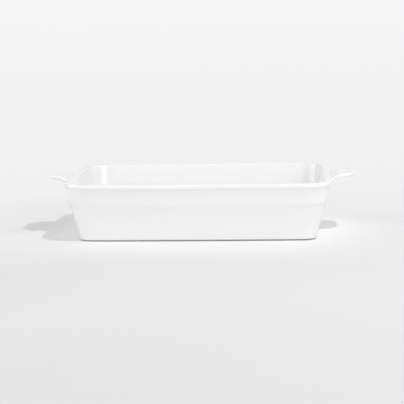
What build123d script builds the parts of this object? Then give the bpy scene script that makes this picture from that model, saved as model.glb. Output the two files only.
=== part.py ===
from build123d import *
from math import radians, tan
import os

# Lasagna dish in white glazed stoneware, millimetres, +Z up.
# The origin is the middle of the footprint, on the surface that the dish stands on.
# X runs along the dish, through both handles, and Y runs across it.

# Overall size of the tub, measured over the rim bead with the handles left out
rim_length = 330.0
rim_width = 240.0
rim_height = 72.0

# Plan: every side bows outwards a little, and the corners keep one centre from rim to floor
long_side_bow = 3.0
short_side_bow = 2.0
floor_corner_radius = 5.0

# Rim bead, rolled over the top of the wall
bead_overhang = 2.4
bead_underside_angle = 45.0
bead_face_height = 0.4
bead_top_radius = 3.4
bead_nose_radius = 2.6
bead_inner_radius = 3.0
bead_root_radius = 1.2
rim_thickness = 8.6

# Band below the bead, and the rounded step that ends it
band_height = 18.0
band_lean = 2.8
step_height = 5.5
step_depth = 2.6
shoulder_radius = 4.0
cove_radius = 4.0

# Flared lower wall, base and floor
wall_lean = 11.5
wall_thickness = 6.4
base_edge_radius = 2.0
floor_thickness = 6.0
floor_lap = 3.0
floor_fillet_radius = 6.0
inner_break_radius = 40.0

# Bare foot under the base
foot_height = 0.8
foot_setback = 1.5
foot_width = 6.0
foot_bevel = 0.3

# Tab handles in plan: a flare at the wall, short straight sides and a rounded end
handle_flare_length = 4.0
handle_flare_spread = 5.0
handle_flare_radius = 8.0
handle_side_length = 6.0
handle_tip_radius = 21.0
handle_tip_flat = 33.0

# Tab handles from the side: they spring from under the bead and level out at the rim
handle_root_depth = 5.0
handle_root_top_drop = 11.0
handle_root_bottom_drop = 17.0
handle_elbow_reach = 9.5
handle_elbow_rise = 1.8
handle_elbow_thickness = 5.0
handle_tip_rise = 3.0
handle_tip_thickness = 4.4
handle_top_bend_radius = 20.0
handle_bottom_bend_radius = 25.0
handle_edge_radius = 1.7

# Shallow thumb recess in the top of each handle, inside its rolled edge
recess_border = 4.2
recess_depth = 1.2
recess_side_length = 1.0
recess_inner_radius = 4.0
recess_edge_radius = 0.6

# How close an edge has to lie to a face to count as on it
fitting_tolerance = 0.001

# Heights and insets that follow from the sizes above; insets are from the widest line of the bead
half_length = rim_length / 2
base_z = foot_height
floor_z = base_z + floor_thickness
bead_nose_height = bead_nose_radius * tan(radians(90 - bead_underside_angle) / 2)
bead_nose_z = rim_height - bead_top_radius - bead_face_height - bead_nose_height
bead_bottom_z = bead_nose_z - bead_overhang * tan(radians(bead_underside_angle))
step_top_z = bead_bottom_z - band_height
step_bottom_z = step_top_z - step_height
step_middle_z = (step_top_z + step_bottom_z) / 2

band_bottom_inset = bead_overhang + band_lean
step_bottom_inset = band_bottom_inset + step_depth
step_middle_inset = (band_bottom_inset + step_bottom_inset) / 2
base_inset = step_bottom_inset + wall_lean
wall_slope = wall_lean / (step_bottom_z - base_z)
inner_break_inset = step_middle_inset + wall_thickness
inner_floor_inset = base_inset - wall_slope * floor_thickness + wall_thickness
floor_edge_inset = inner_floor_inset + floor_fillet_radius
rim_corner_radius = floor_edge_inset + floor_corner_radius

foot_outer_inset = base_inset + base_edge_radius + foot_setback
foot_inner_inset = foot_outer_inset + foot_width

handle_reach = handle_flare_length + handle_side_length + handle_tip_radius
handle_width = handle_tip_flat + 2 * handle_tip_radius
handle_root_inset = band_bottom_inset + handle_root_depth
handle_tip_z = rim_height + handle_tip_rise
handle_elbow_z = rim_height + handle_elbow_rise
recess_start = handle_reach - handle_tip_radius - recess_side_length - recess_inner_radius


def plan_face(inset):
    """The dish's plan at an inset from the widest line of the bead, as a filleted sketch."""
    middle_x = half_length - inset
    middle_y = rim_width / 2 - inset
    corner_x = middle_x - short_side_bow
    corner_y = middle_y - long_side_bow
    with BuildSketch() as plan:
        with BuildLine():
            ThreePointArc((-corner_x, -corner_y), (0, -middle_y), (corner_x, -corner_y))
            ThreePointArc((corner_x, -corner_y), (middle_x, 0), (corner_x, corner_y))
            ThreePointArc((corner_x, corner_y), (0, middle_y), (-corner_x, corner_y))
            ThreePointArc((-corner_x, corner_y), (-middle_x, 0), (-corner_x, -corner_y))
        make_face()
        fillet(plan.vertices(), rim_corner_radius - inset)
    return plan.sketch


def handle_top_line(lowered):
    """Root, elbow and tip of the right handle's top line seen from the front, lowered by a depth."""
    return [
        (half_length - handle_root_inset, rim_height - handle_root_top_drop - lowered),
        (half_length + handle_elbow_reach, handle_elbow_z - lowered),
        (half_length + handle_reach, handle_tip_z - lowered),
    ]


def is_upright(face):
    """Whether a face stands upright, judged by its normal."""
    return abs(face.normal_at().Z) < fitting_tolerance


def lies_on(edge, faces):
    """Whether the middle of an edge lies on one of the faces."""
    return min(face.distance_to(edge @ 0.5) for face in faces) < fitting_tolerance


rim_path = plan_face(0).face().outer_wire()
rim_tangent = rim_path % 0
section_plane = Plane(
    origin=rim_path @ 0,
    x_dir=rim_tangent.cross(Plane.XY.z_dir),
    z_dir=-rim_tangent,
)

# Tub: one wall section carried round the plan, with a floor slab that laps into its foot
with BuildPart() as dish_body:
    with BuildSketch(section_plane):
        with BuildLine():
            FilletPolyline(
                (-floor_edge_inset, base_z),
                (-base_inset, base_z),
                (-step_bottom_inset, step_bottom_z),
                (-band_bottom_inset, step_top_z),
                (-bead_overhang, bead_bottom_z),
                (0, bead_nose_z),
                (0, rim_height),
                (-rim_thickness, rim_height),
                (-inner_break_inset, step_middle_z),
                (-inner_floor_inset, floor_z),
                (-floor_edge_inset, floor_z),
                radius=[
                    0,
                    base_edge_radius,
                    cove_radius,
                    shoulder_radius,
                    bead_root_radius,
                    bead_nose_radius,
                    bead_top_radius,
                    bead_inner_radius,
                    inner_break_radius,
                    floor_fillet_radius,
                    0,
                ],
                close=True,
            )
        make_face()
    sweep(path=rim_path)
    with BuildSketch(Plane.XY.offset(base_z)):
        add(plan_face(floor_edge_inset - floor_lap))
    extrude(amount=floor_thickness)

dish_body.part.label = "dish_body"

# Foot: a low ring that lies face to face with the underside of the tub
with BuildPart() as foot_ring:
    with BuildSketch(section_plane) as foot_section:
        with BuildLine():
            Polyline(
                (-foot_inner_inset, 0),
                (-foot_outer_inset, 0),
                (-foot_outer_inset, base_z),
                (-foot_inner_inset, base_z),
                close=True,
            )
        make_face()
        chamfer(foot_section.vertices().group_by(Axis.Y)[0], foot_bevel)
    sweep(path=rim_path)

foot_ring.part.label = "foot_ring"

# Recess tool: the space over each handle that its thumb recess takes, inside the rolled edge
with BuildPart() as recess:
    with BuildSketch(Plane.XZ):
        with BuildLine():
            FilletPolyline(
                handle_top_line(recess_depth),
                (half_length + handle_reach, handle_tip_z + recess_border),
                (half_length - handle_root_inset, handle_tip_z + recess_border),
                radius=[0, handle_top_bend_radius, 0, 0, 0],
                close=True,
            )
        make_face()
    extrude(amount=handle_width, both=True)
    with BuildSketch():
        with BuildLine():
            FilletPolyline(
                (half_length + recess_start, recess_border - handle_width / 2),
                (half_length + handle_reach - recess_border, recess_border - handle_width / 2),
                (half_length + handle_reach - recess_border, handle_width / 2 - recess_border),
                (half_length + recess_start, handle_width / 2 - recess_border),
                radius=[
                    recess_inner_radius,
                    handle_tip_radius - recess_border,
                    handle_tip_radius - recess_border,
                    recess_inner_radius,
                ],
                close=True,
            )
        make_face()
    extrude(amount=handle_tip_z + recess_border, mode=Mode.INTERSECT)

# Right handle: side view and plan cut from one another, rounded, recessed and trimmed to the tub
with BuildPart() as right_handle:
    with BuildSketch(Plane.XZ):
        with BuildLine():
            FilletPolyline(
                handle_top_line(0),
                (half_length + handle_reach, handle_tip_z - handle_tip_thickness),
                (half_length + handle_elbow_reach, handle_elbow_z - handle_elbow_thickness),
                (half_length - handle_root_inset, rim_height - handle_root_bottom_drop),
                radius=[0, handle_top_bend_radius, 0, 0, handle_bottom_bend_radius, 0],
                close=True,
            )
        make_face()
    extrude(amount=handle_width, both=True)
    handle_top = right_handle.faces().filter_by(lambda face: face.normal_at().Z > 0)
    with BuildSketch():
        with BuildLine():
            FilletPolyline(
                (half_length - handle_root_inset, -handle_width / 2 - handle_flare_spread),
                (half_length + handle_flare_length, -handle_width / 2),
                (half_length + handle_reach, -handle_width / 2),
                (half_length + handle_reach, handle_width / 2),
                (half_length + handle_flare_length, handle_width / 2),
                (half_length - handle_root_inset, handle_width / 2 + handle_flare_spread),
                radius=[
                    0,
                    handle_flare_radius,
                    handle_tip_radius,
                    handle_tip_radius,
                    handle_flare_radius,
                    0,
                ],
                close=True,
            )
        make_face()
    extrude(amount=handle_tip_z, mode=Mode.INTERSECT)
    handle_sides = right_handle.faces().filter_by(is_upright).sort_by(Axis.X)[1:]
    side_edges = right_handle.edges().filter_by(lambda edge: lies_on(edge, handle_sides))
    fillet(side_edges.filter_by(Axis.Z, reverse=True), handle_edge_radius)
    add(recess.part, mode=Mode.SUBTRACT)
    recess_edges = right_handle.edges(Select.LAST).filter_by(lambda edge: lies_on(edge, handle_top))
    fillet(recess_edges, recess_edge_radius)
    add(dish_body.part, mode=Mode.SUBTRACT)

right_handle.part.label = "right_handle"

# Left handle: the right one mirrored
with BuildPart() as left_handle:
    mirror(right_handle.part, about=Plane.YZ)

left_handle.part.label = "left_handle"

os.makedirs("parts", exist_ok=True)
for piece in (dish_body, foot_ring, right_handle, left_handle):
    export_step(piece.part, f"parts/{piece.part.label}.step")
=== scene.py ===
"""Lasagna dish in white glazed stoneware: its surfaces, finishes, stage, light and camera.

Lengths are in metres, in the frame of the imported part. X runs along the dish through both handles,
Y runs across it and Z is up, with the origin in the middle of the footprint on the floor.
"""

import logging
import math
from collections.abc import Sequence
from dataclasses import dataclass, field
from enum import Enum
from typing import Any

import bmesh
import bpy
import numpy as np
from mathutils import Matrix, Vector


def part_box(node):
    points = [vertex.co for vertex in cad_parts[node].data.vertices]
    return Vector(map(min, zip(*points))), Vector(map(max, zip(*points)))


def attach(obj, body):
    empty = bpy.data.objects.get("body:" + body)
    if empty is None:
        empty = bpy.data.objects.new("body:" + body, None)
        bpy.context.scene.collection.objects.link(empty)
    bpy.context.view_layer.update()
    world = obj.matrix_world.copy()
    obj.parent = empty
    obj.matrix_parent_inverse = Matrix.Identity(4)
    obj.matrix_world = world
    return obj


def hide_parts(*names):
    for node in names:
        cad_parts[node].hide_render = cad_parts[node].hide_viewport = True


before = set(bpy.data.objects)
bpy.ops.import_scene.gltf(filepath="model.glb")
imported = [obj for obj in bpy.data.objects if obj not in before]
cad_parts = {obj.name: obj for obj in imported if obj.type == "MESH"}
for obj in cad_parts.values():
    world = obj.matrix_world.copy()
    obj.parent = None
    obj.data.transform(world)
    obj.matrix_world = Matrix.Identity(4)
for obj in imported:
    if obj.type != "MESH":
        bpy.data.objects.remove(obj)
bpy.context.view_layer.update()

Array = np.ndarray
Rgb = tuple[float, float, float]
Place = tuple[float, float, float]

MM = 0.001
WELD_DISTANCE = 0.002 * MM
BODY = "root"
GLAZE_SLOT = "glaze"
CLAY_SLOT = "bare_clay"
GLAZE_BUILD = "glaze_build"

# The display's white, and the offset and power of the sRGB curve above its straight start
WHITE_LEVEL = 255
CURVE_OFFSET = 0.055
CURVE_POWER = 2.4

log = logging.getLogger("lasagna_dish")


class Side(Enum):
    """The end of the dish that a handle is on, by the sign of its X."""

    LEFT = -1
    RIGHT = 1


def whole_mm(length: float) -> float:
    """A length of the facetted frame, rounded to the millimetre that the part was drawn in."""
    return round(length / MM) * MM


def smooth_step(values: Array) -> Array:
    """Zero below 0, one above 1, and 3v^2 - 2v^3 in between."""
    held = np.clip(values, 0.0, 1.0)
    return held * held * (3.0 - 2.0 * held)


def straight(start: Array, end: Array, spacing: float) -> Array:
    """Points at even shares of a straight stretch, no further apart than the spacing.

    Args:
        start: Place of the start.
        end: Place of the end.
        spacing: Longest step.

    Returns:
        The places between the two ends, which are left out.
    """
    steps = max(1, math.ceil(np.linalg.norm(end - start) / spacing))
    shares = np.linspace(0.0, 1.0, steps + 1)[1:-1, None]
    return start + (end - start) * shares


def rounded_line(
    points: Sequence[tuple[float, float]],
    radii: Sequence[float],
    spacing: float,
    arc_turn: float = math.radians(7.0),
) -> tuple[Array, Array]:
    """A polyline whose corners are arcs, sampled closely enough to look bent.

    Each arc touches the two sides of its corner at the radius times the tangent of half the turn.
    Its centre lies one radius off the first side, on the side that the line turns towards.

    Args:
        points: Corners of the line, ends included.
        radii: One radius per corner; the two ends have 0.
        spacing: Longest step on the straight stretches.
        arc_turn: Largest turn between two samples of an arc.

    Returns:
        The samples as an (n, 2) array, and the signed curvature at each, positive in a left turn.
    """
    corners = np.asarray(points, float)
    line = [corners[:1]]
    bend = [np.zeros(1)]
    for before, corner, after, radius in zip(corners, corners[1:], corners[2:], radii[1:]):
        way_in = (corner - before) / np.linalg.norm(corner - before)
        way_out = (after - corner) / np.linalg.norm(after - corner)
        turn = math.atan2(way_in[0] * way_out[1] - way_in[1] * way_out[0], way_in @ way_out)
        left = math.copysign(1.0, turn)
        start = corner - way_in * radius * math.tan(abs(turn) / 2)
        centre = start + left * radius * np.array([-way_in[1], way_in[0]])
        steps = max(2, math.ceil(abs(turn) / arc_turn))
        first = math.atan2(start[1] - centre[1], start[0] - centre[0])
        angles = first + np.linspace(0.0, turn, steps + 1)
        arc = centre + radius * np.column_stack([np.cos(angles), np.sin(angles)])
        run = straight(line[-1][-1], start, spacing)
        line += [run, arc]
        bend += [np.zeros(len(run)), np.full(len(arc), left / radius)]
    run = straight(line[-1][-1], corners[-1], spacing)
    line += [run, corners[-1:]]
    bend += [np.zeros(len(run)), np.zeros(1)]
    return np.concatenate(line), np.concatenate(bend)


@dataclass(frozen=True)
class FiringWarp:
    """The slight warp that clay takes in the kiln: one smooth field that bends every piece alike."""

    amplitude: float = 0.18 * MM
    wavelengths: tuple[float, ...] = (0.31, 0.19, 0.12)
    full_height: float = 72 * MM
    seed: int = 11

    def bend(self, points: Array) -> Array:
        """Moves each point by a sum of sine waves in set directions; heights stay put at the foot.

        Args:
            points: (n, 3) places before firing.

        Returns:
            The (n, 3) places after firing.
        """
        draw = np.random.default_rng(self.seed)
        moved = np.zeros_like(points)
        for wavelength in self.wavelengths:
            ways = draw.normal(size=(3, 3))
            ways /= np.linalg.norm(ways, axis=1, keepdims=True)
            phases = draw.uniform(0.0, math.tau, 3)
            moved += np.sin(points @ ways.T * (math.tau / wavelength) + phases)
        moved *= self.amplitude / len(self.wavelengths)
        moved[:, 2] *= np.clip(points[:, 2] / self.full_height, 0.0, 1.0)
        return points + moved


class Skin:
    """A closed surface under construction: sheets of quads, welded where their edges meet."""

    def __init__(self, name: str) -> None:
        """Starts an empty skin.

        Args:
            name: Name of the piece that the skin becomes.
        """
        self.name = name
        self.points: list[Array] = []
        self.builds: list[Array] = []
        self.quads: list[Array] = []

    def add_sheet(self, points: Array, build: Array, all_round: bool) -> None:
        """Adds a grid of points as quads between neighbouring rows and columns.

        Args:
            points: (rows, columns, 3) places. A row drawn together in one place closes a pole.
            build: (rows, columns) glaze build of each point.
            all_round: Whether the last column joins the first.
        """
        rows, columns = build.shape
        row = np.arange(rows - 1)[:, None]
        column = np.arange(columns if all_round else columns - 1)[None, :]
        following = (column + 1) % columns
        corners = [row * columns + column, row * columns + following]
        corners += [(row + 1) * columns + following, (row + 1) * columns + column]
        offset = sum(map(len, self.points))
        self.quads.append(np.stack(corners, axis=-1).reshape(-1, 4) + offset)
        self.points.append(points.reshape(-1, 3))
        self.builds.append(build.ravel())

    def make(self, warp: FiringWarp) -> bpy.types.Object:
        """Welds the sheets into one mesh with its faces outwards and puts it into the scene.

        Args:
            warp: Firing warp that every piece shares.

        Returns:
            The new object, at the origin.
        """
        points = warp.bend(np.concatenate(self.points)).astype(np.float32)
        quads = np.concatenate(self.quads).astype(np.int32)
        mesh = bpy.data.meshes.new(self.name)
        mesh.vertices.add(len(points))
        mesh.vertices.foreach_set("co", points.ravel())
        mesh.loops.add(quads.size)
        mesh.loops.foreach_set("vertex_index", quads.ravel())
        mesh.polygons.add(len(quads))
        mesh.polygons.foreach_set("loop_start", np.arange(0, quads.size, 4, dtype=np.int32))
        mesh.update(calc_edges=True)
        build = mesh.attributes.new(GLAZE_BUILD, "FLOAT", "POINT")
        build.data.foreach_set("value", np.concatenate(self.builds).astype(np.float32))
        weld = bmesh.new()
        weld.from_mesh(mesh)
        bmesh.ops.remove_doubles(weld, verts=weld.verts, dist=WELD_DISTANCE)
        bmesh.ops.recalc_face_normals(weld, faces=weld.faces)
        weld.to_mesh(mesh)
        weld.free()
        mesh.polygons.foreach_set("use_smooth", np.ones(len(mesh.polygons), bool))
        mesh.update()
        piece = bpy.data.objects.new(self.name, mesh)
        bpy.context.scene.collection.objects.link(piece)
        return piece


def bow_radius(half_chord: float, bow: float) -> float:
    """Radius of the arc whose middle stands off its chord by the bow."""
    return (half_chord**2 + bow**2) / (2 * bow)


@dataclass(frozen=True)
class Plan:
    """The dish from above: four bowed sides and four corners, as eight arcs that touch end to end."""

    length: float
    width: float
    long_bow: float = 3 * MM
    short_bow: float = 2 * MM
    corner_radius: float = 34.96 * MM
    long_steps: int = 96
    short_steps: int = 64
    corner_steps: int = 32

    @property
    def long_radius(self) -> float:
        """Radius of a long side, from its chord and its bow."""
        return bow_radius(self.length / 2 - self.short_bow, self.long_bow)

    @property
    def short_radius(self) -> float:
        """Radius of a short side, from its chord and its bow."""
        return bow_radius(self.width / 2 - self.long_bow, self.short_bow)

    def corner_centre(self, long_centre: Array, short_centre: Array) -> Array:
        """Centre of the corner arc that touches a long and a short side from inside.

        It lies where two circles cross, one about each side's centre and smaller than that side by
        the corner's radius.

        Args:
            long_centre: Centre of the long side at +Y.
            short_centre: Centre of the short side at +X.

        Returns:
            The centre in the corner at +X, +Y.
        """
        long_reach = self.long_radius - self.corner_radius
        short_reach = self.short_radius - self.corner_radius
        between = short_centre - long_centre
        distance = np.linalg.norm(between)
        way = between / distance
        along = (long_reach**2 - short_reach**2 + distance**2) / (2 * distance)
        across = math.sqrt(long_reach**2 - along**2)
        sides = np.array([[-1.0], [1.0]])
        crossings = long_centre + along * way + sides * across * [-way[1], way[0]]
        return crossings[np.argmax(crossings.sum(axis=1))]

    def rings(self, insets: Array) -> Array:
        """True parallels of the plan: each arc keeps its centre, and its radius shrinks by the inset.

        Four arcs run from the +X side to the -X side, and half a turn about the middle gives the
        other four.

        Args:
            insets: (n,) distances in from the widest line of the bead.

        Returns:
            (n, columns, 2) places, anticlockwise.
        """
        long_centre = np.array([0.0, self.width / 2 - self.long_radius])
        short_centre = np.array([self.length / 2 - self.short_radius, 0.0])
        corner = self.corner_centre(long_centre, short_centre)
        low = math.atan2(*(corner - short_centre)[::-1])
        high = math.atan2(*(corner - long_centre)[::-1])
        arcs = (
            (short_centre, self.short_radius, -low, low, self.short_steps),
            (corner, self.corner_radius, low, high, self.corner_steps),
            (long_centre, self.long_radius, high, math.pi - high, self.long_steps),
            (corner * [-1, 1], self.corner_radius, math.pi - high, math.pi - low, self.corner_steps),
        )
        angles = np.concatenate([np.linspace(a, b, n, endpoint=False) for _, _, a, b, n in arcs])
        centres = np.concatenate([np.tile(centre, (n, 1)) for centre, _, _, _, n in arcs])
        radii = np.concatenate([np.full(n, radius) for _, radius, _, _, n in arcs])
        normals = np.column_stack([np.cos(angles), np.sin(angles)])
        reach = radii[None, :, None] - np.asarray(insets, float)[:, None, None]
        half = centres + reach * normals
        return np.concatenate([half, -half], axis=1)


@dataclass(frozen=True)
class WallSection:
    """The wall cut through, as insets from the widest line of the bead and heights off the floor."""

    rim_height: float
    base_z: float
    bead_overhang: float = 2.4 * MM
    bead_underside_angle: float = math.radians(45.0)
    bead_face_height: float = 0.4 * MM
    bead_top_radius: float = 3.4 * MM
    bead_nose_radius: float = 2.6 * MM
    bead_inner_radius: float = 3.0 * MM
    bead_root_radius: float = 1.2 * MM
    rim_thickness: float = 8.6 * MM
    band_height: float = 18 * MM
    band_lean: float = 2.8 * MM
    step_height: float = 5.5 * MM
    step_depth: float = 2.6 * MM
    step_radius: float = 4 * MM
    wall_lean: float = 11.5 * MM
    wall_thickness: float = 6.4 * MM
    base_edge_radius: float = 2 * MM
    floor_thickness: float = 6 * MM
    floor_radius: float = 6 * MM
    inner_break_radius: float = 40 * MM
    spacing: float = 2.5 * MM

    @property
    def nose_z(self) -> float:
        """Height of the corner under the bead's face, where its underside turns in."""
        rounding = self.bead_nose_radius * math.tan(self.bead_underside_angle / 2)
        return self.rim_height - self.bead_top_radius - self.bead_face_height - rounding

    @property
    def bead_bottom_z(self) -> float:
        """Height at which the bead's underside reaches the band."""
        return self.nose_z - self.bead_overhang * math.tan(self.bead_underside_angle)

    @property
    def step_top_z(self) -> float:
        """Height at which the band ends and the step turns in."""
        return self.bead_bottom_z - self.band_height

    @property
    def step_bottom_z(self) -> float:
        """Height at which the step ends and the lower wall starts."""
        return self.step_top_z - self.step_height

    @property
    def band_inset(self) -> float:
        """Inset of the band's lower edge."""
        return self.bead_overhang + self.band_lean

    @property
    def base_inset(self) -> float:
        """Inset of the corner between the lower wall and the underside."""
        return self.band_inset + self.step_depth + self.wall_lean

    @property
    def floor_inset(self) -> float:
        """Inset of the line where the inner floor becomes flat."""
        slope = self.wall_lean / (self.step_bottom_z - self.base_z)
        return self.base_inset - slope * self.floor_thickness + self.wall_thickness + self.floor_radius

    def outline(self) -> tuple[Array, Array]:
        """The section from the inner floor up over the rim and down to the underside.

        Returns:
            (n, 2) insets and heights, and the curvature at each, positive where it bulges out.
        """
        floor_z = self.base_z + self.floor_thickness
        middle_z = (self.step_top_z + self.step_bottom_z) / 2
        middle_inset = self.band_inset + self.step_depth / 2
        points = (
            (self.floor_inset, floor_z),
            (self.floor_inset - self.floor_radius, floor_z),
            (middle_inset + self.wall_thickness, middle_z),
            (self.rim_thickness, self.rim_height),
            (0.0, self.rim_height),
            (0.0, self.nose_z),
            (self.bead_overhang, self.bead_bottom_z),
            (self.band_inset, self.step_top_z),
            (self.band_inset + self.step_depth, self.step_bottom_z),
            (self.base_inset, self.base_z),
            (self.floor_inset, self.base_z),
        )
        radii = (
            0.0,
            self.floor_radius,
            self.inner_break_radius,
            self.bead_inner_radius,
            self.bead_top_radius,
            self.bead_nose_radius,
            self.bead_root_radius,
            self.step_radius,
            self.step_radius,
            self.base_edge_radius,
            0.0,
        )
        return rounded_line(points, radii, self.spacing)

    def outer_inset(self, heights: Array) -> Array:
        """Inset of the outer face, read off the outline between the bead's nose and the base.

        Args:
            heights: Heights off the floor, of any shape.

        Returns:
            Insets of the same shape.
        """
        line, _ = self.outline()
        outer = line[np.argmin(line[:, 0]) + 1:]
        falling = outer[outer[:, 1] > self.base_z]
        return np.interp(heights, falling[::-1, 1], falling[::-1, 0], right=0.0)


@dataclass(frozen=True)
class Tub:
    """The tub itself: one wall section carried round the plan, closed by its floor and underside."""

    plan: Plan
    section: WallSection
    floor_rings: int = 22
    curvature_for_bare: float = 1 / (3 * MM)
    samples_in_mean: int = 5

    def build(self, warp: FiringWarp) -> bpy.types.Object:
        """Makes the tub's skin.

        A row of the grid is a parallel of the plan at one inset and height. Inside the flat floor and
        the underside, the last parallel shrinks in even steps to the middle.

        Args:
            warp: Firing warp that every piece shares.

        Returns:
            The tub as an object.
        """
        line, bend = self.section.outline()
        wall = self.plan.rings(line[:, 0])
        shares = np.linspace(0.0, 1.0, self.floor_rings, endpoint=False)[:, None, None]
        flat = wall[-1] * shares
        rows = np.concatenate([flat, wall, flat[::-1]])
        heights = np.pad(line[:, 1], len(flat), mode="edge")
        bends = np.pad(bend, len(flat))
        columns = rows.shape[1]
        points = np.dstack([rows, np.tile(heights[:, None], columns)])
        build = np.tile(self.glaze_build(bends)[:, None], columns)
        skin = Skin("dish_tub")
        skin.add_sheet(points, build, all_round=True)
        return skin.make(warp)

    def glaze_build(self, bends: Array) -> Array:
        """How thick the glaze lies: -1 on the sharpest edges, +1 in the tightest hollows."""
        spread = np.convolve(bends, np.full(self.samples_in_mean, 1 / self.samples_in_mean), mode="same")
        return np.clip(-spread / self.curvature_for_bare, -1.0, 1.0)


@dataclass(frozen=True)
class FootRing:
    """The low foot of bare clay, ground flat where it stands."""

    plan: Plan
    height: float
    outer_inset: float = 22.8 * MM
    width: float = 6 * MM
    edge_radius: float = 0.3 * MM
    embed: float = 0.2 * MM
    spacing: float = 1 * MM

    def build(self, warp: FiringWarp) -> bpy.types.Object:
        """Carries a small section with two rounded lower edges round the plan, its top inside the tub.

        Args:
            warp: Firing warp that every piece shares.

        Returns:
            The foot ring as an object.
        """
        top = self.height + self.embed
        inner = self.outer_inset + self.width
        corners = ((self.outer_inset, top), (self.outer_inset, 0.0), (inner, 0.0), (inner, top))
        radii = (0.0, self.edge_radius, self.edge_radius, 0.0)
        line, _ = rounded_line(corners, radii, self.spacing)
        closed = np.concatenate([line, line[:1]])
        rings = self.plan.rings(closed[:, 0])
        columns = rings.shape[1]
        points = np.dstack([rings, np.tile(closed[:, 1:2], columns)])
        skin = Skin("foot_of_bare_clay")
        skin.add_sheet(points, np.zeros(points.shape[:2]), all_round=True)
        return skin.make(warp)


@dataclass(frozen=True)
class TabHandle:
    """A tab handle pressed apart and luted on: rolled edge, shallow thumb recess, fillet at the wall.

    Distances out are counted from the widest line of the bead, and distances across from the dish's
    middle plane.
    """

    plan: Plan
    section: WallSection
    reach: float
    tip_z: float
    half_width: float = 37.5 * MM
    tip_radius: float = 21 * MM
    flare_length: float = 4 * MM
    flare_spread: float = 5 * MM
    flare_radius: float = 8 * MM
    root_inset: float = 10.2 * MM
    root_top_drop: float = 11 * MM
    root_bottom_drop: float = 17 * MM
    elbow_out: float = 9.5 * MM
    elbow_rise: float = 1.8 * MM
    elbow_thickness: float = 5 * MM
    tip_thickness: float = 4.4 * MM
    top_bend_radius: float = 20 * MM
    bottom_bend_radius: float = 25 * MM
    edge_width: float = 2.2 * MM
    border: float = 4.2 * MM
    recess_depth: float = 1.2 * MM
    recess_slope: float = 2.2 * MM
    recess_out: float = 3 * MM
    recess_inner_radius: float = 4 * MM
    rim_zone: float = 8 * MM
    root_fillet: float = 1.6 * MM
    embed: float = 1.2 * MM
    pooled_at_border: float = 0.6
    thin_over_edge: float = 0.8

    # How finely the surface is sampled; the loops of the root lie closer together near the wall
    line_spacing: float = 2 * MM
    line_turn: float = math.radians(1.0)
    top_shares: tuple[float, ...] = (0.0, 0.2, 0.4, 0.6, 0.75, 0.88)
    recess_rows: int = 13
    underside_rows: int = 5
    edge_steps: int = 22
    arc_steps: int = 36
    tip_steps: int = 18
    far_loops: int = 4
    near_wall: float = 5.5 * MM
    near_loops: int = 14
    fillet_loops: int = 9
    wall_passes: int = 12

    @property
    def tip_start(self) -> float:
        """Distance out at which the sides end and the rounded tip starts."""
        return self.reach - self.tip_radius

    def top_z(self, out: Array) -> Array:
        """Height of the top line over each distance out: root to elbow to tip, with a bent elbow."""
        return self.side_line(out, self.root_top_drop, 0.0, 0.0, self.top_bend_radius)

    def bottom_z(self, out: Array) -> Array:
        """Height of the bottom line over each distance out."""
        drops = (self.root_bottom_drop, self.elbow_thickness, self.tip_thickness)
        return self.side_line(out, *drops, self.bottom_bend_radius)

    def side_line(
        self,
        out: Array,
        root_drop: float,
        elbow_drop: float,
        tip_drop: float,
        radius: float,
    ) -> Array:
        """Height over each distance out of a line through the root, the elbow and the tip.

        Args:
            out: Distances out.
            root_drop: Drop of the root's end below the rim.
            elbow_drop: Drop of the elbow below the top line's elbow.
            tip_drop: Drop of the tip below the top line's tip.
            radius: Radius of the bend at the elbow.

        Returns:
            Heights, of the same shape as the distances.
        """
        rim = self.section.rim_height
        corners = (
            (-self.root_inset, rim - root_drop),
            (self.elbow_out, rim + self.elbow_rise - elbow_drop),
            (self.reach, self.tip_z - tip_drop),
        )
        return self.read_off(out, corners, radius)

    def half_width_at(self, out: Array) -> Array:
        """Half the tab's width: straight sides that flare towards the wall.

        Args:
            out: Distances out.

        Returns:
            Half widths, of the same shape as the distances.
        """
        corners = (
            (-self.root_inset, self.half_width + self.flare_spread),
            (self.flare_length, self.half_width),
            (self.reach, self.half_width),
        )
        return self.read_off(out, corners, self.flare_radius)

    def read_off(self, out: Array, corners: Sequence[tuple[float, float]], radius: float) -> Array:
        """Reads values off a line with one rounded corner.

        Args:
            out: Distances out.
            corners: Start, corner and end of the line, each as a distance out and a value.
            radius: Radius of the corner.

        Returns:
            Values, of the same shape as the distances.
        """
        line, _ = rounded_line(corners, (0.0, radius, 0.0), self.line_spacing, self.line_turn)
        return np.interp(out, line[:, 0], line[:, 1])

    def girth(self) -> tuple[Array, Array, Array, Array]:
        """The half section from the middle of the top, over the rolled edge, to the middle underneath.

        Returns:
            inward: Distance in from the outline, up to the width of the rim zone.
            share: Share of what lies inside the rim zone that the point is out from the middle.
            lift: +1 on the top line, -1 on the bottom line, and the cosine of the roll between.
            roll: Sideways part of the surface's direction, the sine of the roll.
        """
        top_shares = np.array(self.top_shares)
        slope_start = self.border + self.recess_slope
        slope = np.linspace(slope_start, self.border - self.recess_slope, self.recess_rows)
        top_inward = np.append(self.rim_zone, slope[slope > self.edge_width])
        turns = np.linspace(0.0, math.pi, self.edge_steps + 1)
        bottom_inward = np.linspace(self.edge_width, self.rim_zone, self.underside_rows + 1)[1:]
        inward = np.concatenate([
            np.full(len(top_shares), self.rim_zone),
            top_inward,
            self.edge_width * (1 - np.sin(turns)),
            bottom_inward,
            np.full(len(top_shares), self.rim_zone),
        ])
        in_rim_zone = np.ones(len(inward) - 2 * len(top_shares))
        share = np.concatenate([top_shares, in_rim_zone, top_shares[::-1]])
        before = len(top_shares) + len(top_inward)
        after = len(inward) - before - len(turns)
        lift = np.concatenate([np.ones(before), np.cos(turns), -np.ones(after)])
        roll = np.concatenate([np.zeros(before), np.sin(turns), np.zeros(after)])
        return inward, share, lift, roll

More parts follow.
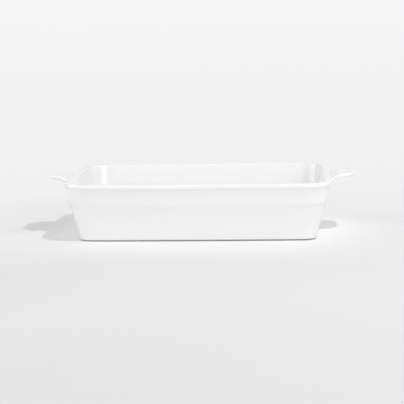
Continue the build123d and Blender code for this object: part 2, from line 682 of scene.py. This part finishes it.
    def recess(self, out: Array, inward: Array, share: Array) -> Array:
        """How far into the thumb recess a point of the top is, from 0 on the border to 1 on its bed.

        The recess ends a border's width inside the outline and short of the wall, and its two inner
        corners are rounded: there the distance is one radius less the distance to the corner's centre.

        Args:
            out: Distances out.
            inward: Distances in from the outline.
            share: Shares of the way out from the middle to the rim zone.

        Returns:
            Shares of the recess's full depth.
        """
        radius = self.recess_inner_radius
        beside = np.where(share < 1, radius, inward - self.border)
        behind = out - self.recess_out
        rounded = radius - np.hypot(np.maximum(radius - beside, 0), np.maximum(radius - behind, 0))
        return smooth_step(rounded / self.recess_slope + 0.5)

    def height(self, out: Array, inward: Array, share: Array, lift: Array) -> Array:
        """Height of the surface: between the top and bottom lines by the lift, less the recess.

        Args:
            out: Distances out.
            inward: Distances in from the outline.
            share: Shares of the way out from the middle to the rim zone.
            lift: +1 on the top line, -1 on the bottom line.

        Returns:
            Heights off the floor.
        """
        top = self.top_z(out)
        bottom = self.bottom_z(out)
        recess = np.where(lift >= 1, self.recess(out, inward, share), 0)
        return (top + bottom) / 2 + (top - bottom) / 2 * lift - recess * self.recess_depth

    def build(self, side: Side, warp: FiringWarp) -> bpy.types.Object:
        """Makes a handle: a rounded tip of nested U-shaped rows, and a root of closed loops.

        Args:
            side: End of the dish that the handle is on.
            warp: Firing warp that every piece shares.

        Returns:
            The handle as an object.
        """
        skin = Skin(f"tab_handle_{side.name.lower()}")
        for (points, build), all_round in ((self.tip_sheet(), False), (self.root_sheet(), True)):
            placed = points + [self.plan.length / 2, 0.0, 0.0]
            skin.add_sheet(placed * [side.value, 1.0, 1.0], build, all_round)
        return skin.make(warp)

    def tip_sheet(self) -> tuple[Array, Array]:
        """The tip: each row of the girth runs along an inward parallel of the rounded outline.

        Inside the rim zone the rows shrink towards the middle of the line where the tip starts.

        Returns:
            (rows, columns, 3) points as distance out, distance across and height, and the glaze
            build of each.
        """
        inward, share, lift, roll = self.girth()
        quarter = np.linspace(-math.pi / 2, 0.0, self.arc_steps + 1)
        flat = np.zeros(self.tip_steps - 1)
        turns = np.concatenate([quarter, flat, quarter + math.pi / 2])
        inner = self.half_width - self.tip_radius
        across = np.concatenate([
            np.full(len(quarter), -inner),
            np.linspace(-inner, inner, self.tip_steps + 1)[1:-1],
            np.full(len(quarter), inner),
        ])
        radius = self.tip_radius - inward[:, None]
        out = self.tip_start + share[:, None] * radius * np.cos(turns)
        sideways = share[:, None] * (across + radius * np.sin(turns))
        z = self.height(out, inward[:, None], share[:, None], lift[:, None])
        build = np.tile(self.glaze_build(inward, share, lift, roll)[:, None], len(turns))
        return np.dstack([out, sideways, z]), build

    def root_sheet(self) -> tuple[Array, Array]:
        """The root: loops of the whole girth, from where the tip starts to just inside the wall.

        A loop's points all lie at one share of the way from the wall's own surface to the line where
        the tip starts, so the loops bend into the wall's shape as they near it. Within the fillet's
        radius of the wall the girth swells by the radius less the quarter circle. The wall's place
        depends on a point's height and the height on its place, so both are worked out in turn until
        they settle. The last loop lies inside the wall, and its middle closes the root.

        Returns:
            (rows, columns, 3) points as distance out, distance across and height, and the glaze
            build of each.
        """
        half_loop = self.girth()
        points_in_half = len(half_loop[0])
        sign = np.concatenate([-np.ones(points_in_half), np.ones(points_in_half - 2)])
        inward, share, lift, roll = (np.append(part, part[-2:0:-1]) for part in half_loop)
        fillet = self.root_fillet
        quarter = np.linspace(math.pi / 2, 0.0, self.fillet_loops)
        gaps = np.concatenate([
            np.linspace(self.tip_start, self.near_wall, self.far_loops, endpoint=False),
            np.linspace(self.near_wall, fillet, self.near_loops, endpoint=False),
            fillet * (1 - np.cos(quarter)),
        ])
        swell = fillet * (1 - np.sqrt(1 - np.clip(1 - gaps / fillet, 0, 1) ** 2))
        swell = np.append(swell, swell[-1])[:, None]
        off_wall = np.append(gaps, -self.embed)[:, None]
        out = np.broadcast_to(off_wall, (len(off_wall), len(sign)))
        for _ in range(self.wall_passes):
            half_width = self.half_width_at(out)
            inside = share * (half_width - self.rim_zone)
            reach_across = np.where(share < 1, inside, half_width - inward)
            across = sign * (reach_across + swell * roll)
            z = self.height(out, inward, share, lift) + swell * lift
            wall = -self.section.outer_inset(z) - across**2 / (2 * self.plan.short_radius)
            stretch = np.where(off_wall > 0, (self.tip_start - wall) / self.tip_start, 1.0)
            out = wall + off_wall * stretch
        loops = np.dstack([out, across, z])
        end = np.broadcast_to(loops[-1].mean(axis=0), loops[-1:].shape)
        points = np.concatenate([loops, end])
        build = np.tile(self.glaze_build(inward, share, lift, roll), (len(points), 1))
        build += np.append(swell, 0.0)[:, None] / fillet
        return points, np.clip(build, -1, 1)

    def glaze_build(self, inward: Array, share: Array, lift: Array, roll: Array) -> Array:
        """How thick the glaze lies: thin over the rolled edge, thick at the foot of the border.

        On the top it is a bell curve of the distance in, centred half a slope inside the border, and
        over the edge it falls with the sine of the roll.

        Args:
            inward: Distances in from the outline.
            share: Shares of the way out from the middle to the rim zone.
            lift: +1 on the top line, -1 on the bottom line.
            roll: Sine of the roll over the edge.

        Returns:
            Glaze builds from -1 to +1.
        """
        border_foot = self.border + self.recess_slope / 2
        pooled = self.pooled_at_border * np.exp(-(((inward - border_foot) / self.recess_slope) ** 2))
        on_top = (share == 1) & (lift >= 0) & (roll == 0)
        return np.where(on_top, pooled, 0.0) - self.thin_over_edge * roll


def socket(sockets: Any, key: str) -> bpy.types.NodeSocket:
    """Finds a socket by its identifier or, if there is none, by its name.

    Args:
        sockets: Inputs or outputs of a node.
        key: Identifier or name.

    Returns:
        The socket.
    """
    for candidate in sockets:
        if candidate.identifier == key:
            return candidate
    return sockets[key]


class Wiring:
    """A node tree being wired: puts nodes down and joins their sockets."""

    def __init__(self, tree: bpy.types.NodeTree) -> None:
        """Takes over a tree.

        Args:
            tree: Node tree of a material, a world or a node group.
        """
        self.tree = tree

    def put(self, kind: str, wires: dict[str, Any] | None = None, **settings: Any) -> bpy.types.Node:
        """Adds a node and sets it up.

        Args:
            kind: Blender's name for the node type.
            wires: Input sockets, each with the value that it holds or the socket that feeds it.
            settings: The node's own properties.

        Returns:
            The new node.
        """
        node = self.tree.nodes.new(kind)
        for name, value in settings.items():
            setattr(node, name, value)
        for key, value in (wires or {}).items():
            target = socket(node.inputs, key)
            if isinstance(value, bpy.types.NodeSocket):
                self.tree.links.new(value, target)
            else:
                target.default_value = value
        return node

    def mix(self, share: Any, first: Any, second: Any, blend: str = "MIX") -> bpy.types.NodeSocket:
        """The colour between two others by a share from 0 to 1.

        Args:
            share: Share of the second colour.
            first: First colour, or a socket that gives it.
            second: Second colour, or a socket that gives it.
            blend: How the second is laid over the first.

        Returns:
            The colour socket.
        """
        colours = {"A_Color": opaque(first), "B_Color": opaque(second), "Factor_Float": share}
        node = self.put("ShaderNodeMix", colours, data_type="RGBA", blend_type=blend)
        return socket(node.outputs, "Result_Color")

    def math(self, operation: str, *values: Any, clamp: bool = False) -> bpy.types.NodeSocket:
        """The result of one sum on numbers or sockets, held between 0 and 1 if it is clamped."""
        wires = dict(zip(("Value", "Value_001", "Value_002"), values))
        return self.put("ShaderNodeMath", wires, operation=operation, use_clamp=clamp).outputs["Value"]

    def effect(self, group: bpy.types.NodeTree, wires: dict[str, Any]) -> bpy.types.NodeSocket:
        """The mask of a shared effect, placed with its own values."""
        return self.put("ShaderNodeGroup", wires, node_tree=group).outputs["Mask"]

    def seen(self) -> bpy.types.NodeSocket:
        """Tells what is seen from what only lights.

        Returns:
            A socket with 1 for rays from the camera, straight, mirrored or through glass, and 0 for
            all others.
        """
        rays = self.put("ShaderNodeLightPath").outputs
        seen = self.math("MAXIMUM", rays["Is Camera Ray"], rays["Is Glossy Ray"])
        return self.math("MAXIMUM", seen, rays["Is Transmission Ray"])

    def blend(self, share: Any, first: Any, second: Any) -> bpy.types.NodeSocket:
        """The shader between two others by a share from 0 to 1."""
        wires = {"Fac": share, "Shader": first, "Shader_001": second}
        return self.put("ShaderNodeMixShader", wires).outputs["Shader"]

    def fade(self, value: Any, start: float, end: float) -> bpy.types.NodeSocket:
        """A smooth rise of 3v^2 - 2v^3 between two values.

        Args:
            value: Socket with the value.
            start: Value at which the rise leaves 0.
            end: Value at which it reaches 1.

        Returns:
            The rise's socket.
        """
        node = self.put(
            "ShaderNodeMapRange",
            {"Value": value, "From Min": start, "From Max": end},
            interpolation_type="SMOOTHSTEP",
        )
        return node.outputs["Result"]

    def ramp(self, share: Any, stops: Sequence[tuple[float, Rgb]]) -> bpy.types.NodeSocket:
        """A colour read off a row of stops.

        Args:
            share: Socket with the place along the row, from 0 to 1.
            stops: Places with their colours, in order.

        Returns:
            The colour socket.
        """
        node = self.put("ShaderNodeValToRGB", {"Fac": share})
        elements = node.color_ramp.elements
        for place, _ in stops[2:]:
            elements.new(place)
        for element, (place, colour) in zip(elements, stops):
            element.position = place
            element.color = opaque(colour)
        return node.outputs["Color"]


def opaque(colour: Any) -> Any:
    """A colour with its alpha, or the socket or colour with alpha that came in."""
    return (*colour, 1.0) if isinstance(colour, tuple) and len(colour) == 3 else colour


def new_group(
    name: str,
    inputs: dict[str, tuple[str, Any]],
    outputs: Sequence[str],
) -> tuple[Wiring, bpy.types.Node, bpy.types.Node]:
    """Starts a shader node group.

    Args:
        name: Name of the group.
        inputs: Input sockets by name, each with its socket type and default value.
        outputs: Names of the outputs, which are masks.

    Returns:
        The group's wiring, its input node and its output node.
    """
    tree = bpy.data.node_groups.new(name, "ShaderNodeTree")
    for label, (kind, value) in inputs.items():
        entry = tree.interface.new_socket(name=label, in_out="INPUT", socket_type=kind)
        if value is not None:
            entry.default_value = value
    for label in outputs:
        tree.interface.new_socket(name=label, in_out="OUTPUT", socket_type="NodeSocketFloat")
    wiring = Wiring(tree)
    return wiring, wiring.put("NodeGroupInput"), wiring.put("NodeGroupOutput")


@dataclass
class Effects:
    """The node groups that more than one finish uses, each built once.

    The clouds mix two noises, the second finer times as fine. A speck's rim is softened over a share
    of its largest radius.
    """

    finer: float = 3.1
    share_of_finer: float = 0.35
    speck_softness: float = 0.4
    mottle: bpy.types.NodeTree = field(init=False)
    specks: bpy.types.NodeTree = field(init=False)

    def __post_init__(self) -> None:
        """Builds both groups."""
        self.mottle = self.build_mottle()
        self.specks = self.build_specks()

    def build_mottle(self) -> bpy.types.NodeTree:
        """Soft clouds: noise at one size, blended with noise about a third as large.

        Returns:
            The node group.
        """
        wiring, given, result = new_group(
            "soft_mottle",
            {"Place": ("NodeSocketVector", None), "Per metre": ("NodeSocketFloat", 30.0)},
            ["Mask"],
        )
        place, scale = given.outputs["Place"], given.outputs["Per metre"]
        large = wiring.put("ShaderNodeTexNoise", {"Vector": place, "Scale": scale, "Detail": 2.0})
        finer = wiring.math("MULTIPLY", scale, self.finer)
        small = wiring.put("ShaderNodeTexNoise", {"Vector": place, "Scale": finer, "Detail": 1.0})
        weighted = wiring.math("MULTIPLY", small.outputs["Fac"], self.share_of_finer)
        total = wiring.math("MULTIPLY_ADD", large.outputs["Fac"], 1 - self.share_of_finer, weighted)
        wiring.tree.links.new(total, result.inputs["Mask"])
        return wiring.tree

    def build_specks(self) -> bpy.types.NodeTree:
        """Scattered specks: a round dot in the middle of some cells of a Voronoi pattern.

        Returns:
            The node group.
        """
        wiring, given, result = new_group(
            "speck_field",
            {
                "Place": ("NodeSocketVector", None),
                "Per metre": ("NodeSocketFloat", 300.0),
                "Share": ("NodeSocketFloat", 0.1),
                "Radius": ("NodeSocketFloat", 0.15),
            },
            ["Mask"],
        )
        cells = wiring.put(
            "ShaderNodeTexVoronoi",
            {"Vector": given.outputs["Place"], "Scale": given.outputs["Per metre"]},
        )
        channels = wiring.put("ShaderNodeSeparateColor", {"Color": cells.outputs["Color"]})
        chosen = wiring.math("LESS_THAN", channels.outputs["Red"], given.outputs["Share"])
        size = wiring.math("MULTIPLY", channels.outputs["Green"], given.outputs["Radius"])
        nearness = wiring.math("SUBTRACT", size, cells.outputs["Distance"])
        softness = wiring.math("MULTIPLY", given.outputs["Radius"], self.speck_softness)
        dot = wiring.math("DIVIDE", nearness, softness, clamp=True)
        wiring.tree.links.new(wiring.math("MULTIPLY", dot, chosen), result.inputs["Mask"])
        return wiring.tree


def new_material(name: str) -> tuple[bpy.types.Material, Wiring, bpy.types.NodeSocket]:
    """Starts a material.

    Args:
        name: Name of the material.

    Returns:
        The material, its wiring, emptied, and the input of its surface.
    """
    material = bpy.data.materials.new(name)
    material.use_nodes = True
    material.node_tree.nodes.clear()
    wiring = Wiring(material.node_tree)
    return material, wiring, wiring.put("ShaderNodeOutputMaterial").inputs["Surface"]


@dataclass(frozen=True)
class WhiteGlaze:
    """Opaque white glaze, fired glossy: thin on edges and thick in hollows.

    A thin dark line round the base edge is painted shade, the dark gap where the dish meets the floor,
    and the coat is left off along it.
    The line fades in and out over the heights line_start and line_end.
    """

    white: Rgb = (0.885, 0.885, 0.88)
    clouded: Rgb = (0.872, 0.875, 0.874)
    over_edge: Rgb = (0.88, 0.876, 0.868)
    pooled: Rgb = (0.872, 0.877, 0.88)
    pinhole: Rgb = (0.78, 0.765, 0.74)
    # Painted shade: colour of the dark line round the base edge
    painted_base_shade: Rgb = (0.36, 0.335, 0.30)
    line_start: tuple[float, float] = (0.82 * MM, 0.9 * MM)
    line_end: tuple[float, float] = (1.4 * MM, 2.1 * MM)
    cloud_scale: float = 22.0
    pinhole_scale: float = 140.0
    pinhole_share: float = 0.035
    pinhole_radius: float = 0.05
    roughness_low: float = 0.16
    roughness_high: float = 0.26
    coat: float = 0.6
    coat_roughness: float = 0.08
    refraction: float = 1.5
    ripple_scale: float = 70.0
    ripple_depth: float = 0.05 * MM

    def material(self, effects: Effects) -> bpy.types.Material:
        """Wires the glaze: clouds and pinholes in colour, roughness by the clouds, ripple as bump.

        Args:
            effects: Shared node groups.

        Returns:
            The finished material.
        """
        material, wiring, surface = new_material("white_glaze")
        place = wiring.put("ShaderNodeTexCoord").outputs["Object"]
        clouds = wiring.effect(effects.mottle, {"Place": place, "Per metre": self.cloud_scale})
        ripple = wiring.effect(effects.mottle, {"Place": place, "Per metre": self.ripple_scale})
        pinholes = wiring.effect(
            effects.specks,
            {
                "Place": place,
                "Per metre": self.pinhole_scale,
                "Share": self.pinhole_share,
                "Radius": self.pinhole_radius,
            },
        )
        build = wiring.put("ShaderNodeAttribute", attribute_name=GLAZE_BUILD).outputs["Fac"]
        thick = wiring.math("MULTIPLY", build, 1.0, clamp=True)
        thin = wiring.math("MULTIPLY", build, -1.0, clamp=True)
        colour = wiring.mix(clouds, self.white, self.clouded)
        colour = wiring.mix(thick, colour, self.pooled)
        colour = wiring.mix(thin, colour, self.over_edge)
        colour = wiring.mix(pinholes, colour, self.pinhole)
        height = wiring.put("ShaderNodeSeparateXYZ", {"Vector": place}).outputs["Z"]
        # Painted shade: a dark line round the base edge where the dish meets the floor, with the coat
        # left off along it
        above_underside = wiring.fade(height, *self.line_start)
        above_shade_line = wiring.fade(height, *self.line_end)
        base_shade_line = wiring.math("MULTIPLY", above_underside, wiring.math("SUBTRACT", 1.0, above_shade_line))
        colour = wiring.mix(base_shade_line, colour, self.painted_base_shade)
        roughness = wiring.put(
            "ShaderNodeMapRange",
            {"Value": clouds, "To Min": self.roughness_low, "To Max": self.roughness_high},
        )
        coat = wiring.math("MULTIPLY", wiring.math("SUBTRACT", 1.0, base_shade_line), self.coat)
        depth = wiring.math("SUBTRACT", ripple, pinholes)
        bump = wiring.put(
            "ShaderNodeBump",
            {"Height": depth, "Distance": self.ripple_depth, "Strength": 1.0},
        )
        shader = wiring.put(
            "ShaderNodeBsdfPrincipled",
            {
                "Base Color": colour,
                "Roughness": roughness.outputs["Result"],
                "Normal": bump.outputs["Normal"],
                "IOR": self.refraction,
                "Coat Weight": coat,
                "Coat Roughness": self.coat_roughness,
            },
        )
        wiring.tree.links.new(shader.outputs["BSDF"], surface)
        return material


@dataclass(frozen=True)
class BareClay:
    """Unglazed buff stoneware, ground on the standing face: sandy and clouded, with dark grog."""

    clay: Rgb = (0.79, 0.74, 0.66)
    darker: Rgb = (0.70, 0.64, 0.55)
    grog: Rgb = (0.52, 0.45, 0.37)
    cloud_scale: float = 60.0
    grog_scale: float = 600.0
    grog_share: float = 0.3
    grog_radius: float = 0.35
    grain_scale: float = 900.0
    grain_depth: float = 0.12 * MM
    roughness: float = 0.88

    def material(self, effects: Effects) -> bpy.types.Material:
        """Wires the clay: clouds and grog in colour, fine grain as bump.

        Args:
            effects: Shared node groups.

        Returns:
            The finished material.
        """
        material, wiring, surface = new_material("bare_clay")
        place = wiring.put("ShaderNodeTexCoord").outputs["Object"]
        clouds = wiring.effect(effects.mottle, {"Place": place, "Per metre": self.cloud_scale})
        grain = wiring.effect(effects.mottle, {"Place": place, "Per metre": self.grain_scale})
        grog = wiring.effect(
            effects.specks,
            {
                "Place": place,
                "Per metre": self.grog_scale,
                "Share": self.grog_share,
                "Radius": self.grog_radius,
            },
        )
        colour = wiring.mix(clouds, self.clay, self.darker)
        colour = wiring.mix(grog, colour, self.grog)
        bump = wiring.put(
            "ShaderNodeBump",
            {"Height": grain, "Distance": self.grain_depth, "Strength": 1.0},
        )
        shader = wiring.put(
            "ShaderNodeBsdfPrincipled",
            {"Base Color": colour, "Roughness": self.roughness, "Normal": bump.outputs["Normal"]},
        )
        wiring.tree.links.new(shader.outputs["BSDF"], surface)
        return material


def grey(level: float) -> Rgb:
    """A neutral grey: the display level taken back through the upper part of the sRGB curve.

    Args:
        level: Display level from 0 to 255.

    Returns:
        The linear colour.
    """
    linear = ((level / WHITE_LEVEL + CURVE_OFFSET) / (1 + CURVE_OFFSET)) ** CURVE_POWER
    return (linear, linear, linear)


@dataclass(frozen=True)
class PaperFloor:
    """A sheet of pale paper that the dish stands on, palest far away, with no line at its end.

    Its tone follows the distance from a point in front of the dish, as distance / (distance + pace).
    Near the dish the lamps light it: light_on_floor is the share of a white card's tone that they
    give it, and whitest is the palest that the matt paper may be. From far_start to far_end away from
    that point, and from lamps_start to lamps_end towards the camera, it fades to its own tone for the
    eye, so that the pools of light under the lamps don't show.
    """

    half_size: float = 120.0
    darkest_place: Place = (0.12, -0.9, 0.0)
    pace: float = 2.0
    # Painted shade and light: the tones darken towards the camera as the light falls off, and the stop
    # at 0.33 paints a pale ring where the lamps' light thins out
    tones: tuple[tuple[float, float], ...] = (
        (0.03, 222.0),
        (0.12, 224.5),
        (0.18, 228.0),
        (0.25, 228.5),
        (0.275, 231.0),
        (0.30, 238.0),
        (0.33, 245.5),
        (0.37, 240.0),
        (0.56, 242.3),
        (0.80, 245.0),
        (0.94, 246.2),
    )
    light_on_floor: float = 0.90
    whitest: float = 0.97
    far_start: float = 0.90
    far_end: float = 1.35
    lamps_start: float = -1.15
    lamps_end: float = -1.65

    def build(self) -> bpy.types.Object:
        """Makes the sheet at height 0 with its paper finish.

        Returns:
            The floor as an object, marked as stage.
        """
        edge = self.half_size
        mesh = bpy.data.meshes.new("paper_floor")
        corners = [(-edge, -edge, 0.0), (edge, -edge, 0.0), (edge, edge, 0.0), (-edge, edge, 0.0)]
        mesh.from_pydata(corners, [], [(0, 1, 2, 3)])
        mesh.materials.append(self.material())
        floor = bpy.data.objects.new("paper_floor", mesh)
        bpy.context.scene.collection.objects.link(floor)
        return floor

    def material(self) -> bpy.types.Material:
        """Wires the paper: matt near the dish, and its own tone to the eye where it fades.

        The matt paper's colour is its tone divided by the light that falls on the floor.

        Returns:
            The finished material.
        """
        material, wiring, surface = new_material("backdrop_paper")
        place = wiring.put("ShaderNodeTexCoord").outputs["Object"]
        ends = {"Vector": place, "Vector_001": self.darkest_place}
        distance = wiring.put("ShaderNodeVectorMath", ends, operation="DISTANCE").outputs["Value"]
        share = wiring.math("DIVIDE", distance, wiring.math("ADD", distance, self.pace))
        tone = wiring.ramp(share, [(stop, grey(level)) for stop, level in self.tones])
        lit = wiring.mix(1.0, tone, (1 / self.light_on_floor,) * 3, blend="MULTIPLY")
        paper = wiring.mix(1.0, lit, (self.whitest,) * 3, blend="DARKEN")
        matt = wiring.put(
            "ShaderNodeBsdfPrincipled",
            {"Base Color": paper, "Roughness": 1.0, "Specular IOR Level": 0.0},
        )
        glow = wiring.put("ShaderNodeEmission", {"Color": tone, "Strength": 1.0})
        inward = wiring.put("ShaderNodeSeparateXYZ", {"Vector": place}).outputs["Y"]
        far = wiring.fade(distance, self.far_start, self.far_end)
        beyond = wiring.math("MAXIMUM", far, wiring.fade(inward, self.lamps_start, self.lamps_end))
        share_of_glow = wiring.math("MULTIPLY", beyond, wiring.seen())
        blend = wiring.blend(share_of_glow, matt.outputs["BSDF"], glow.outputs["Emission"])
        wiring.tree.links.new(blend, surface)
        return material


@dataclass(frozen=True)
class StudioRoom:
    """The pale room round the dish: even light from everywhere, and the paper's far tone to the eye."""

    light: float = 0.356
    seen_level: float = 246.0
    white: Rgb = (1.0, 1.0, 1.0)

    def build(self) -> None:
        """Makes the world's background: one strength for what it lights, one tone for what is seen."""
        world = bpy.data.worlds.new("studio_room")
        bpy.context.scene.world = world
        world.use_nodes = True
        world.node_tree.nodes.clear()
        wiring = Wiring(world.node_tree)
        output = wiring.put("ShaderNodeOutputWorld")
        lit = wiring.put(
            "ShaderNodeBackground",
            {"Color": opaque(self.white), "Strength": self.light},
        )
        seen = wiring.put(
            "ShaderNodeBackground",
            {"Color": opaque(grey(self.seen_level)), "Strength": 1.0},
        )
        blend = wiring.blend(wiring.seen(), lit.outputs["Background"], seen.outputs["Background"])
        wiring.tree.links.new(blend, output.inputs["Surface"])


@dataclass(frozen=True)
class Softbox:
    """A round soft lamp that looks at the dish. Its power is in watts."""

    name: str
    place: Place
    power: float
    diameter: float
    aim: Place = (0.0, 0.0, 0.04)

    def build(self) -> bpy.types.Object:
        """Hangs the lamp.

        Returns:
            The lamp as an object.
        """
        lamp = bpy.data.lights.new(self.name, "AREA")
        lamp.shape = "DISK"
        lamp.size = self.diameter
        lamp.energy = self.power
        hung = bpy.data.objects.new(self.name, lamp)
        hung.location = self.place
        way = Vector(self.aim) - Vector(self.place)
        hung.rotation_mode = "QUATERNION"
        hung.rotation_quaternion = way.to_track_quat("-Z", "Y")
        bpy.context.scene.collection.objects.link(hung)
        return hung


@dataclass(frozen=True)
class StudioCamera:
    """The photograph's viewpoint: almost two metres in front, a little above the rim and to the right.

    The turns are in radians, and the focal length is in pixels of the picture.
    """

    place: Place = (100.1 * MM, -1899.5 * MM, 294.2 * MM)
    yaw: float = -0.0520
    pitch: float = 0.1357
    roll: float = -0.0138
    focal_pixels: float = 1497.3
    image_pixels: int = 404
    sensor: float = 36.0
    clip_end: float = 400.0

    def build(self) -> bpy.types.Object:
        """Sets up the camera and makes it the scene's own.

        The way that it looks is +Y turned by the yaw and dipped by the pitch; the roll then turns the
        picture's right and up about that way.

        Returns:
            The camera as an object.
        """
        level = math.cos(self.pitch)
        dip = -math.sin(self.pitch)
        ahead = Vector((math.sin(self.yaw) * level, math.cos(self.yaw) * level, dip))
        right = Vector((math.cos(self.yaw), -math.sin(self.yaw), 0.0))
        upward = right.cross(ahead)
        turned_right = right * math.cos(self.roll) + upward * math.sin(self.roll)
        turned_up = upward * math.cos(self.roll) - right * math.sin(self.roll)
        lens = bpy.data.cameras.new("studio_camera")
        lens.sensor_width = self.sensor
        lens.lens = self.focal_pixels * self.sensor / self.image_pixels
        lens.clip_end = self.clip_end
        camera = bpy.data.objects.new("studio_camera", lens)
        axes = Matrix((turned_right, turned_up, -ahead)).transposed()
        camera.matrix_world = Matrix.Translation(self.place) @ axes.to_4x4()
        bpy.context.scene.collection.objects.link(camera)
        bpy.context.scene.camera = camera
        return camera


# A small key lamp throws the shadows, and large soft ones fill from the front, the left and the right
LAMPS = (
    Softbox("key_lamp", place=(0.75, -0.81, 1.95), power=13.4, diameter=0.085),
    Softbox("front_softbox", place=(0.1, -3.2, 1.0), power=8.6, diameter=2.0),
    Softbox("front_right_softbox", place=(1.6, -2.6, 0.85), power=25.5, diameter=2.1),
    Softbox("front_left_softbox", place=(-1.7, -2.6, 1.0), power=3.4, diameter=2.1),
    Softbox("left_softbox", place=(-2.4, -0.3, 0.95), power=22.5, diameter=2.0),
    Softbox("high_right_softbox", place=(1.9, 0.3, 1.9), power=12.0, diameter=2.0),
)


@dataclass(frozen=True)
class LasagnaDish:
    """The whole dish: tub, two tab handles and foot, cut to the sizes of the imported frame."""

    warp: FiringWarp = FiringWarp()
    glaze: WhiteGlaze = WhiteGlaze()
    clay: BareClay = BareClay()

    def build(self) -> None:
        """Measures the frame, makes each piece, dresses it and hangs it on its body."""
        low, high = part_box("dish_body")
        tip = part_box("right_handle")[1]
        plan = Plan(length=whole_mm(high.x - low.x), width=whole_mm(high.y - low.y))
        section = WallSection(rim_height=whole_mm(high.z), base_z=low.z)
        reach = whole_mm(tip.x) - plan.length / 2
        handle = TabHandle(plan, section, reach=reach, tip_z=whole_mm(tip.z))
        foot = FootRing(plan, height=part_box("foot_ring")[1].z)
        effects = Effects()
        glazed = self.glaze.material(effects)
        bare = self.clay.material(effects)
        self.dress(Tub(plan, section).build(self.warp), glazed, GLAZE_SLOT, "dish_body")
        self.dress(handle.build(Side.LEFT, self.warp), glazed, GLAZE_SLOT, "left_handle")
        self.dress(handle.build(Side.RIGHT, self.warp), glazed, GLAZE_SLOT, "right_handle")
        self.dress(foot.build(self.warp), bare, CLAY_SLOT, "foot_ring")

    @staticmethod
    def dress(piece: bpy.types.Object, finish: bpy.types.Material, slot: str, node: str) -> None:
        """Gives a piece its finish and ties it to the frame.

        Args:
            piece: The new piece.
            finish: Its material.
            slot: The record's material slot; not used.
            node: The CAD node that it stands for.
        """
        piece.data.materials.append(finish)
        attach(piece, BODY)
        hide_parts(node)
        log.info("%s: %d faces, for %s", piece.name, len(piece.data.polygons), node)


def main() -> None:
    """Builds the dish, the stage, the light and the camera."""
    logging.basicConfig(level=logging.INFO, format="%(name)s: %(message)s")
    bpy.context.scene.view_settings.view_transform = "Standard"
    StudioCamera().build()
    LasagnaDish().build()
    PaperFloor().build()
    StudioRoom().build()
    for lamp in LAMPS:
        lamp.build()
        log.info("%s at %s", lamp.name, lamp.place)


if __name__ == "__main__":
    main()
